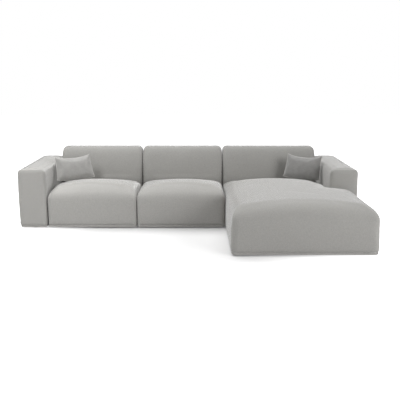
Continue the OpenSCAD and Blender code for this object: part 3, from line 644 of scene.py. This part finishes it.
def swell(block, low, high, pressure, frames, cap):
    """Blows a block up a little over its pinned hem, and keeps it between two corners."""
    before = coords(block)
    pin = np.nonzero(before[:, 2] < (BLOCK_LOW + PIN_H) / 1000)[0]
    simulate(block, pressure, frames, pin=pin)
    hold(block, before, cap, low, high)
    relax(block, 3)


def hem(name, ring, body, closed=True):
    """The band along a cover's lower edge, which reaches into the block, and its stitches."""
    high = FLOOR_GAP + HEM + HEM_OVER
    strip(f"{name}_hem", ring, FLOOR_GAP, high, HEM_T, lit_hem_cloth, body, closed=closed)
    low, high = FLOOR_GAP + STITCH_LOW, FLOOR_GAP + STITCH_HIGH
    strip(f"{name}_hem_stitch", ring, low, high, STITCH_T, seam_thread, body, closed=closed)


def seat_ring(bay, ways, r):
    """A seat's outline, moved in at its sides, front and rear by ways."""
    x0, x1 = bay[0] + GAP + ways["side"], bay[1] - GAP - ways["side"]
    x0 += ARM_SEAM if bay is BAYS["left"] else 0
    y0, y1 = SEAT_Y0 + ways["front"], SEAT_REAR - ways["rear"]
    return rect_ring(x0, x1, y0, y1, min(r, (x1 - x0) / 2 - 5))


def seat_block(side):
    bay = BAYS[side]
    x0, x1 = bay[0] + GAP, bay[1] - GAP
    end = (x1 - x0) / 2 - CROWN_MARGIN
    far = (SEAT_REAR - SEAT_Y0) / 2 - CROWN_MARGIN
    shape = {
        "rim": 369, "drop": 84, "side": 70, "front": 180, "rear": 60, "neck": 0, "notch": 0,
        "end": end, "ends": {"front": far, "rear": far}, "corner": 22, "tight": ("rear",),
    }
    crown, more, more_y, fall, top = 31, 14, (60, 580), 29, 419

    def rise(x, y):
        return (crown + more * arch(y, *more_y)) * arch(x, x0, x1) - fall * fallen(y)

    def outline(ways, r):
        return seat_ring(bay, ways, r)

    middle = ((x0 + x1) / 2, (SEAT_Y0 + SEAT_REAR) / 2)
    block = crowned_block(f"{side}_seat_cushion", outline, shape, rise, middle)
    remesh(block)
    low = point(x0 - BELLY + (ARM_SEAM if side == "left" else 0), SEAT_Y0 - 2, BLOCK_LOW - 2)
    high = point(x1 + BELLY, SEAT_REAR - 1, top)
    swell(block, low, high, pressure=3.0, frames=16, cap=0.005)
    boxes = [((x0 + SIDE_PAD, SEAT_Y0 + FRONT_PAD, UNDER), (x1 - SIDE_PAD, SEAT_REAR + PAST, HOLLOW_TOP))]
    for a, b in side_of(bay, -1, BRACKET_T + 1):
        slit_front = PIVOT_Y - BRACKET_REACH - 4
        boxes.append(((a, slit_front, HOLLOW_TOP - 1), (b, SEAT_REAR + PAST, PIVOT_Z + HUB_R + 5)))
    cut(block, boxes)
    sharpen(block)
    body = f"{side}_seat"
    finish_piece(block, sofa_cloth, body, [f"{side}_seat_cover"])
    # The hem's outline runs past the open rear, and is kept only in front of it
    ring = rect_ring(x0 + HEM_IN, x1 - HEM_IN, SEAT_Y0 + HEM_IN, SEAT_REAR + 40, 22)
    part = [p for p in spread_along(ring, counts(ring, HEM_STEP)) if p[1] < SEAT_REAR - 2]
    k = next(i for i in range(len(part)) if math.dist(part[i], part[i - 1]) > 60)
    hem(f"{side}_seat", part[k:] + part[:k], body, closed=False)


def chaise_ring(ways, r):
    """The chaise's outline, moved in by ways: wide in front of the right arm, narrow beside it."""
    x0, x1, xn = CHAISE_LEFT + ways["side"], CHAISE_RIGHT - ways["side"], CHAISE_NECK - ways["neck"]
    y0, y1, yn = -REACH + ways["front"], CHAISE_REAR - ways["rear"], NOTCH_Y - ways["notch"]
    back = min(r, 26)
    edge = x1 - r
    inner = []
    for k in range(CORNER_STEPS + 1):
        t = math.radians(270 - 90 * k / CORNER_STEPS)
        x = min(xn + (NOTCH_R + ways["neck"]) * (1 + math.cos(t)), edge - 1 - k)
        inner.append((x, yn + (NOTCH_R + ways["notch"]) * (1 + math.sin(t))))
    return (
        corner_arc(edge, y0 + r, r, -90) + corner_arc(edge, yn - r, r, 0) + inner
        + corner_arc(xn - back, y1 - back, back, 0) + corner_arc(x0 + back, y1 - back, back, 90)
        + corner_arc(x0 + r, y0 + r, r, 180)
    )


def keep_beside_arm(block):
    """Lays points that swelled into the right arm's bay back on the chaise's neck and notch."""
    neck, notch = CHAISE_NECK / 1000, (NOTCH_Y + FRONT_Y) / 1000
    now = coords(block)
    beside_arm = (now[:, 0] > neck) & (now[:, 1] > notch)
    near_neck = now[:, 0] - neck < now[:, 1] - notch
    now[beside_arm & near_neck, 0] = neck
    now[beside_arm & ~near_neck, 1] = notch
    set_coords(block, now)


def chaise_block():
    half = (CHAISE_NECK - CHAISE_LEFT) / 2
    shape = {
        "rim": 384, "drop": 90, "side": 84, "front": 150, "rear": 60, "neck": 60, "notch": 40,
        "end": half - CROWN_MARGIN, "ends": {}, "corner": 40, "tight": ("neck", "notch", "rear"),
    }
    crown, fall, arch_change, top = 40, 58, 300, 500

    def rise(x, y):
        x1 = mixed(CHAISE_RIGHT, CHAISE_NECK, ease(y / arch_change))
        return crown * arch(x, CHAISE_LEFT, x1) - fall * fallen(y)

    middle = (CHAISE_LEFT + half, -0.35 * REACH)
    block = crowned_block("chaise_cushion", chaise_ring, shape, rise, middle)
    remesh(block)
    low = point(CHAISE_LEFT - BELLY, -REACH - 3, BLOCK_LOW - 2)
    high = point(CHAISE_RIGHT + 11, CHAISE_REAR - 1, top)
    swell(block, low, high, pressure=3.0, frames=16, cap=0.008)
    keep_beside_arm(block)
    x0, notch, rear = CHAISE_LEFT + FRONT_PAD, NOTCH_Y - FRONT_PAD, CHAISE_REAR - FRONT_PAD
    cut(block, [
        ((x0, -REACH + FRONT_PAD, UNDER), (CHAISE_RIGHT - FRONT_PAD, notch, HOLLOW_TOP)),
        ((x0, notch - 1, UNDER), (CHAISE_NECK - FRONT_PAD, rear, HOLLOW_TOP)),
    ])
    sharpen(block)
    finish_piece(block, sofa_cloth, "base", ["chaise_cover"])
    ring = chaise_ring({edge: HEM_IN for edge in EDGES}, 38)
    hem("chaise", spread_along(ring, counts(ring, HEM_STEP)), "base")


# Backs

BACK_CROWN = 10
BACK_LEAN, LEAN_H, LEAN_CURVE = 122, 280, (0.75, 1.7)
REAR_DEPTHS = {0, 2, 6, 12, 18, 26, 34, 48, 60, 75, 90}
LEAN_SHARES = (
    1, 0.95, 0.88, 0.8, 0.72, 0.64, 0.56, 0.48, 0.4, 0.33, 0.26, 0.2, 0.14, 0.09, 0.05, 0.025, 0.01, 0,
)
SWING_ROUND, TUCK_ROUND, RIGHT_LOW_ROUND = 80, 60, 12


def lean_in(d):
    """How far a back's upper edge stands down at depth d behind its front face."""
    if d >= BACK_LEAN:
        return 0
    return LEAN_H * (1 - (max(d, 0) / BACK_LEAN) ** LEAN_CURVE[0]) ** LEAN_CURVE[1]


def back_block(side, z0, low_front, low_rear):
    """Rings from a back's rear face to its front, laid on their side."""
    bay = BAYS[side]
    x0, x1 = bay[0] + GAP - BELLY, bay[1] - GAP + BELLY
    front_r, side_r, rear_r, corner = 50, 36, 30, 48
    top = BACK_TOP + 2
    rim_t = BACK_T - BACK_CROWN
    rings = []
    n = None
    for t in sorted(REAR_DEPTHS | {rim_t - BACK_LEAN * share for share in LEAN_SHARES}):
        rear_in = round_in(t, rear_r)
        side_in = max(rear_in, round_in(rim_t - t, front_r) * side_r / front_r)
        low = z0 + max(round_in(t, low_rear), round_in(rim_t - t, low_front))
        high = top - max(rear_in, lean_in(rim_t - t))
        ring = rect_ring(x0 + side_in, x1 - side_in, low, high, corner)
        n = n or counts(ring, spacing=26)
        rings.append([(x, z, t) for x, z in spread_along(ring, n)])
    front_low, front_high = z0 + low_front, top - LEAN_H
    reach = (front_high - front_low) / 2 - 20
    for k in range(1, CROWN_RINGS):
        t = k / CROWN_RINGS
        e = reach * t
        left, right = x0 + side_r + 4 * e, x1 - side_r - 4 * e
        ring = rect_ring(left, right, front_low + e, front_high - e, mixed(corner, 15, t))
        depth = rim_t + BACK_CROWN * (1 - (1 - t) ** 2)
        rings.append([(x, z, depth) for x, z in spread_along(ring, n)])

    def upright(x, z, t):
        return point(x, BACK_Y + BACK_T - t, z)

    mid = (x0 + x1) / 2
    low, high = (mid, (z0 + top) / 2, 0), (mid, (front_low + front_high) / 2, BACK_T)
    block = stack(f"{side}_back_cushion", rings, low, high, upright)
    fix_normals(block)
    remesh(block)
    before = coords(block)
    simulate(block, pressure=2.5, frames=14)
    low, high = point(x0, BACK_Y - 2, z0), point(x1, BACK_Y + BACK_T, top + 2)
    hold(block, before, 0.003, low, high)
    relax(block, 2)
    return block


def pocket(bay, z0):
    """The pocket for a back's frame."""
    return (
        (bay[0] + BOARD_IN + POCKET_X, POCKET_FRONT, z0),
        (bay[1] - BOARD_IN - POCKET_X, BODY_D + 5, POCKET_TOP),
    )


def board(name, x, y, z, body, nodes):
    """A cloth-covered board that stands upright: rounded edges and a faint swell of its rear face."""
    (x0, x1), (y0, y1), (z0, z1) = x, y, z
    r, puff, corner = 3, 1.0, 6
    rings = []
    n = None
    thick = y1 - y0
    for t in (0, 0.12, 0.3, 0.6, 1, 1.6, 2.4, 3.2):
        e = round_in(t, r)
        ring = rect_ring(x0 + e, x1 - e, z0 + e, z1 - e, corner)
        n = n or counts(ring, spacing=25)
        rings.append([(x, z, t) for x, z in spread_along(ring, n)])
    rings += [[(x, z, thick - t) for x, z, t in ring] for ring in reversed(rings)]
    for k in range(1, 4):
        e = r + 12 * k
        ring = rect_ring(x0 + e, x1 - e, z0 + e, z1 - e, corner)
        rise = puff * (1 - (1 - k / 3) ** 2) - puff
        rings.append([(x, z, thick + rise) for x, z in spread_along(ring, n)])

    def upright(x, z, t):
        return point(x, y0 + t, z)

    mid = ((x0 + x1) / 2, (z0 + z1) / 2)
    obj = stack(name, rings, (*mid, 0), (*mid, thick), upright)
    fix_normals(obj)
    sharpen(obj, 50)
    return finish_piece(obj, panel_cloth, body, nodes)


def rear_panel(side, bay, z0, body):
    """The panel that closes a back's pocket, and the stitches along its edge."""
    x0, x1 = bay[0] + BOARD_IN + POCKET_X + FIT, bay[1] - BOARD_IN - POCKET_X - FIT
    y1 = BACK_Y + BACK_T - PANEL_IN
    y, z = (y1 - PANEL_T, y1), (z0 + FIT, POCKET_TOP - FIT)
    board(f"{side}_back_rear_panel", (x0, x1), y, z, body, [f"{side}_back_panel"])
    seam = 9
    ring = rect_ring(x0 + seam, x1 - seam, z0 + seam, POCKET_TOP - seam, 5)
    ring = spread_along(ring, counts(ring, spacing=20))

    def upright(x, z, t):
        return point(x, y1 + t - 0.2, z)

    name = f"{side}_back_panel_stitch"
    strip(name, ring, -0.6, 0.8, STITCH_T, seam_thread, body, place=upright)


def folding_back(side):
    bay = BAYS[side]
    block = back_block(side, BACK_LOW, SWING_ROUND, TUCK_ROUND)
    boxes = [pocket(bay, PIVOT_POCKET_LOW)]
    for a, b in side_of(bay, -3, POCKET_X + 1):
        high = (b, PIVOT_Y + STUD_BACK - 4, PIVOT_Z + HUB_R + 4)
        boxes.append(((a, BACK_Y - PAST, BACK_LOW - 9), high))
    for a, b in side_of(bay, BRACKET_T + FIT, POCKET_X + 1):
        high = (b, PIVOT_Y + HUB_R + FIT, PIVOT_Z + FLANGE_UP + 4)
        boxes.append(((a, POCKET_FRONT, PIVOT_Z - HUB_R), high))
    cut(block, boxes)
    sharpen(block)
    finish_piece(block, shaded_back_cloth, f"{side}_back", [f"{side}_back_cover"])
    rear_panel(side, bay, PIVOT_POCKET_LOW, f"{side}_back")


def right_back():
    bay = BAYS["right"]
    block = back_block("right", FLOOR_GAP, RIGHT_LOW_ROUND, RIGHT_LOW_ROUND)
    cut(block, [pocket(bay, RIGHT_POCKET_LOW)])
    sharpen(block)
    finish_piece(block, shaded_back_cloth, "base", ["right_back_cover"])
    rear_panel("right", bay, RIGHT_POCKET_LOW, "base")


# Arms

ARM_LEVELS = (BLOCK_LOW, BLOCK_LOW + 2, BLOCK_LOW + 6, 60, 110, 170, 230, 290, 350, 410, 470, 510)
ARM_RIM_SHARES = (1, 0.85, 0.7, 0.55, 0.42, 0.3, 0.2, 0.12, 0.06, 0.02, 0)


def arm(side):
    x0 = -BODY_W / 2 if side == "left" else RIGHT_X
    x1 = x0 + ARM_W
    edge, front_edge, corner, crown = 36, 14, 16, 3
    belly, belly_z, inner_way = 9, (-60, ARM_H + 40), 1.5
    rings = []
    n = None
    for z in [*ARM_LEVELS, *(ARM_H - edge * share for share in ARM_RIM_SHARES)]:
        e = round_in(ARM_H - z, edge)
        out = tuck_in(z) + e - belly * arch(z, *belly_z)
        inner = tuck_in(z) + e + inner_way
        left, right = (out, inner) if side == "left" else (inner, out)
        end = tuck_in(z) + round_in(ARM_H - z, front_edge)
        ring = rect_ring(x0 + left, x1 - right, end, BODY_D - end, max(corner - e / 2, 8))
        n = n or counts(ring, spacing=26)
        rings.append([(x, y, z) for x, y in spread_along(ring, n)])
    for k in range(1, 8):
        t = k / 8
        inward = 2 + 80 * t
        e, end = edge + inward, front_edge + inward
        ring = spread_along(rect_ring(x0 + e, x1 - e, end, BODY_D - end, 8), n)
        rings.append([(x, y, ARM_H + crown * (1 - (1 - t) ** 2)) for x, y in ring])
    mid = ((x0 + x1) / 2, BODY_D / 2)
    block = stack(f"{side}_arm_cushion", rings, (*mid, BLOCK_LOW), (*mid, ARM_H + crown))
    remesh(block)
    outer = belly + 1
    low = point(x0 - (outer if side == "left" else 0), -2, BLOCK_LOW - 2)
    high = point(x1 + (outer if side == "right" else 0), BODY_D, ARM_H + 6)
    swell(block, low, high, pressure=1.5, frames=12, cap=0.004)
    inside = (x1 - ARM_PAD, BODY_D - ARM_PAD, ARM_H - 1.5 * ARM_PAD)
    cut(block, [((x0 + ARM_PAD, ARM_PAD, UNDER), inside)])
    sharpen(block)
    finish_piece(block, sofa_cloth, "base", [f"{side}_arm_cover"])
    inset = HEM_IN + 1
    ring = rect_ring(x0 + inset, x1 - inset, inset, BODY_D - inset, 20)
    hem(f"{side}_arm", spread_along(ring, counts(ring, HEM_STEP)), "base")


# Pillows

PILLOW_W, PILLOW_H, PILLOW_T = 385.0, 245.0, 105.0
PILLOW_NU, PILLOW_NV = 56, 38
PILLOW_UNEVEN = 0.0004
# Each pillow's middle, its lean and turn in degrees, and the seed of its unevenness
PILLOWS = {
    "left": ((LEFT_X + 184.8, BACK_Y - 222.1, CAD_SEAT_RIM + 144.55), (-20, 35), 7),
    "right": ((RIGHT_X - 173.25, BACK_Y - 196, CAD_CHAISE_RIM + 129.4), (-17, -36), 19),
}


def pillow_form(name):
    """A flat pillow in the x-z plane, and the points along the edge of its front face."""
    nu, nv = PILLOW_NU, PILLOW_NV
    n = (nu + 1) * (nv + 1)
    pull, flare, sag_low, sag_high = 0.03, 12, 0.15, -0.2
    edge_half, fullness = 0.8, 0.36
    points = []
    for face in (-1, 1):
        for j in range(nv + 1):
            for i in range(nu + 1):
                u, v = 2 * i / nu - 1, 2 * j / nv - 1
                full = (max(0, 1 - u ** 2) * max(0, 1 - v ** 2)) ** 0.5
                sag = sag_low if v < 0 else sag_high
                x = PILLOW_W / 2 * u * (1 - pull * (1 - v * v)) + flare * u * (1 - v) / 2
                y = face * (edge_half + PILLOW_T * fullness * full)
                z = PILLOW_H / 2 * v * (1 + sag * (1 - u * u))
                points.append((x / 1000, y / 1000, z / 1000))
    faces = []
    for j in range(nv):
        for i in range(nu):
            a = j * (nu + 1) + i
            faces.append((a, a + 1, a + nu + 2, a + nu + 1))
            faces.append((n + a, n + a + nu + 1, n + a + nu + 2, n + a + 1))
    edge = list(range(nu + 1)) + [(j + 1) * (nu + 1) - 1 for j in range(1, nv + 1)]
    edge += [nv * (nu + 1) + i for i in range(nu - 1, -1, -1)] + [j * (nu + 1) for j in range(nv - 1, 0, -1)]
    for k, a in enumerate(edge):
        b = edge[(k + 1) % len(edge)]
        faces.append((a, n + a, n + b, b))
    obj = new_mesh(name, points, faces)
    fix_normals(obj)
    return obj, edge, n


def pillow_welt(side, ring, body):
    """The round welt along a pillow's edge."""
    welt = bpy.data.curves.new(f"{side}_pillow_welt", "CURVE")
    welt.dimensions = "3D"
    welt.bevel_depth = 0.0024
    welt.bevel_resolution = 2
    line = welt.splines.new("POLY")
    line.points.add(len(ring) - 1)
    for p, q in zip(line.points, ring):
        p.co = (*q, 1)
    line.use_cyclic_u = True
    piece = bpy.data.objects.new(f"{side}_pillow_welt", welt)
    bpy.context.scene.collection.objects.link(piece)
    welt.materials.append(piping_cloth)
    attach(piece, body)


def pillow(side):
    at, (lean, turn), seed = PILLOWS[side]
    obj, edge, n = pillow_form(f"{side}_pillow_cushion")
    rng = np.random.default_rng(seed)
    before = coords(obj)
    before[:, 1] += rng.normal(0, PILLOW_UNEVEN, len(before))
    set_coords(obj, before)
    before = coords(obj)
    simulate(obj, pressure=5.0, frames=20, tension=25, bending=0.15)
    hold(obj, before, 0.008)
    co = coords(obj)
    place = Matrix.Translation(Vector(point(*at))) @ Matrix.Rotation(math.radians(turn), 4, "Z")
    place = place @ Matrix.Rotation(math.radians(lean), 4, "X")
    m = np.array(place)
    set_coords(obj, co @ m[:3, :3].T + m[:3, 3])
    sub = obj.modifiers.new("sub", "SUBSURF")
    sub.levels = 1
    sub.render_levels = 1
    apply_all(obj)
    body = f"{side}_pillow"
    finish_piece(obj, pillow_cloth[side], body, [f"{side}_pillow"])
    # The welt runs midway between the edges of the two faces
    ring = [m[:3, :3] @ ((co[a] + co[n + a]) / 2) + m[:3, 3] for a in edge]
    pillow_welt(side, ring, body)


# The object

for name in ("left", "centre"):
    seat_block(name)
    folding_back(name)
right_back()
chaise_block()
arm("left")
arm("right")
pillow("left")
pillow("right")
skirt_x = (LEFT_X + FIT, CHAISE_X + GAP - FIT)
skirt_y = (BODY_D - SKIRT_T, BODY_D)
board("rear_skirt_board", skirt_x, skirt_y, (FLOOR_GAP, SKIRT_TOP), "base", ["rear_skirt"])

LOOKS = {
    "timber": timber("pine", (0.66, 0.50, 0.32)),
    "webbing": webbing("webbing", (0.035, 0.035, 0.04)),
    "base_cloth": webbing("base_cloth", (0.03, 0.03, 0.03)),
    "steel": metal("zinc", (0.62, 0.64, 0.67), 0.35),
    "steel_plate": metal("powder_coat", (0.09, 0.095, 0.10), 0.5, 0.2),
    "bush_plastic": plastic("bush_plastic", (0.04, 0.04, 0.045)),
    "roller_plastic": plastic("roller_plastic", (0.05, 0.05, 0.055), 0.6),
    "foot_plastic": plastic("foot_plastic", (0.03, 0.03, 0.03), 0.6),
}
slot_of = {row["node"]: row["material_slot"] for row in frame["record"]["subparts"]}
for node, obj in frame["nodes"].items():
    look = LOOKS.get(slot_of[node])
    if look is None:
        continue
    obj.data.materials.clear()
    obj.data.materials.append(look)

# Floor, light and camera

WORLD_STRENGTH = 0.19
FLOOR_TONE = 0.8
# The floor's glow for the camera: metres from the middle, and strength at either end
GLOW = {"From Min": 0.8, "From Max": 1.8, "To Min": 0.12, "To Max": 1.0}
# Each lamp's place, the point that it faces, its size in metres and its power in watts
LAMPS = {
    "overhead": ((-0.4, 2.0, 4.5), (0, 0.4, 0.2), (6.5, 3.2), 208),
    "front_right": ((4.6, -4.4, 2.3), (-0.3, 0, 0.3), (3.0, 2.8), 186),
    "left": ((-2.1, -0.9, 2.6), (-1.45, 0.3, 0.6), (0.9, 0.9), 46),
}
# The camera as fitted to the photo: in pixels of its 400 x 400 frame, millimetres and radians
FRAME_PX, FOCAL_PX, CENTRE_PX = 400, 593.35, (194.52, 189.76)
EYE_X, EYE_BACK, EYE_Z, EYE_TILT = 63, 5417, 1473, 0.2
SENSOR = 36


def studio_world():
    """White as the camera and reflections see it, and dim as a light."""
    world = bpy.data.worlds.new("studio")
    bpy.context.scene.world = world
    world.use_nodes = True
    tree = world.node_tree
    tree.nodes.clear()
    out = tree.nodes.new("ShaderNodeOutputWorld")
    path = tree.nodes.new("ShaderNodeLightPath")
    seen = math_node(tree, "MAXIMUM", path.outputs["Is Camera Ray"], path.outputs["Is Glossy Ray"])
    seen = math_node(tree, "MAXIMUM", seen, path.outputs["Is Transmission Ray"])
    blend = tree.nodes.new("ShaderNodeMixShader")
    tree.links.new(seen, blend.inputs[0])
    for k, strength in ((1, WORLD_STRENGTH), (2, 1.0)):
        light = tree.nodes.new("ShaderNodeBackground")
        light.inputs["Color"].default_value = (1, 1, 1, 1)
        light.inputs["Strength"].default_value = strength
        tree.links.new(light.outputs[0], blend.inputs[k])
    tree.links.new(blend.outputs[0], out.inputs["Surface"])


def white_floor():
    """A floor whose glow, for the camera alone, turns it white away from the object."""
    corners = [(-14, -12, 0), (14, -12, 0), (14, 14, 0), (-14, 14, 0)]
    floor = new_mesh("floor", corners, [(0, 1, 2, 3)], smooth=False)
    mat, tree, shader, place = new_material("floor_white")
    shader.inputs["Base Color"].default_value = (FLOOR_TONE, FLOOR_TONE, FLOOR_TONE, 1)
    shader.inputs["Roughness"].default_value = 1.0
    shader.inputs["Specular IOR Level"].default_value = 0.0
    glow = tree.nodes.new("ShaderNodeEmission")
    glow.inputs["Color"].default_value = (1, 1, 1, 1)
    path = tree.nodes.new("ShaderNodeLightPath")
    far = tree.nodes.new("ShaderNodeVectorMath")
    far.operation = "LENGTH"
    tree.links.new(place, far.inputs[0])
    fade = tree.nodes.new("ShaderNodeMapRange")
    fade.interpolation_type = "SMOOTHSTEP"
    tree.links.new(far.outputs["Value"], fade.inputs["Value"])
    for name, value in GLOW.items():
        fade.inputs[name].default_value = value
    lift = math_node(tree, "MULTIPLY", path.outputs["Is Camera Ray"], fade.outputs["Result"])
    tree.links.new(lift, glow.inputs["Strength"])
    total = tree.nodes.new("ShaderNodeAddShader")
    tree.links.new(shader.outputs[0], total.inputs[0])
    tree.links.new(glow.outputs[0], total.inputs[1])
    tree.links.new(total.outputs[0], tree.nodes["Material Output"].inputs["Surface"])
    floor.data.materials.append(mat)


def area_light(name, at, aim, size, power):
    data = bpy.data.lights.new(name, "AREA")
    data.shape = "RECTANGLE"
    data.size, data.size_y = size
    data.energy = power
    lamp = bpy.data.objects.new(name, data)
    bpy.context.scene.collection.objects.link(lamp)
    lamp.location = at
    lamp.rotation_euler = (Vector(aim) - Vector(at)).to_track_quat("-Z", "Y").to_euler()


studio_world()
white_floor()
for name, values in LAMPS.items():
    area_light(name, *values)

camera = bpy.data.cameras.new("camera")
camera.sensor_width = SENSOR
camera.lens = FOCAL_PX * SENSOR / FRAME_PX
camera.shift_x = (FRAME_PX / 2 - CENTRE_PX[0]) / FRAME_PX
camera.shift_y = -(FRAME_PX / 2 - CENTRE_PX[1]) / FRAME_PX
camera.clip_end = 100
eye = bpy.data.objects.new("camera", camera)
bpy.context.scene.collection.objects.link(eye)
eye.location = point(EYE_X, -EYE_BACK, EYE_Z)
eye.rotation_euler = (math.radians(90) - EYE_TILT, 0, 0)
bpy.context.scene.camera = eye
bpy.context.scene.view_settings.view_transform = "Standard"
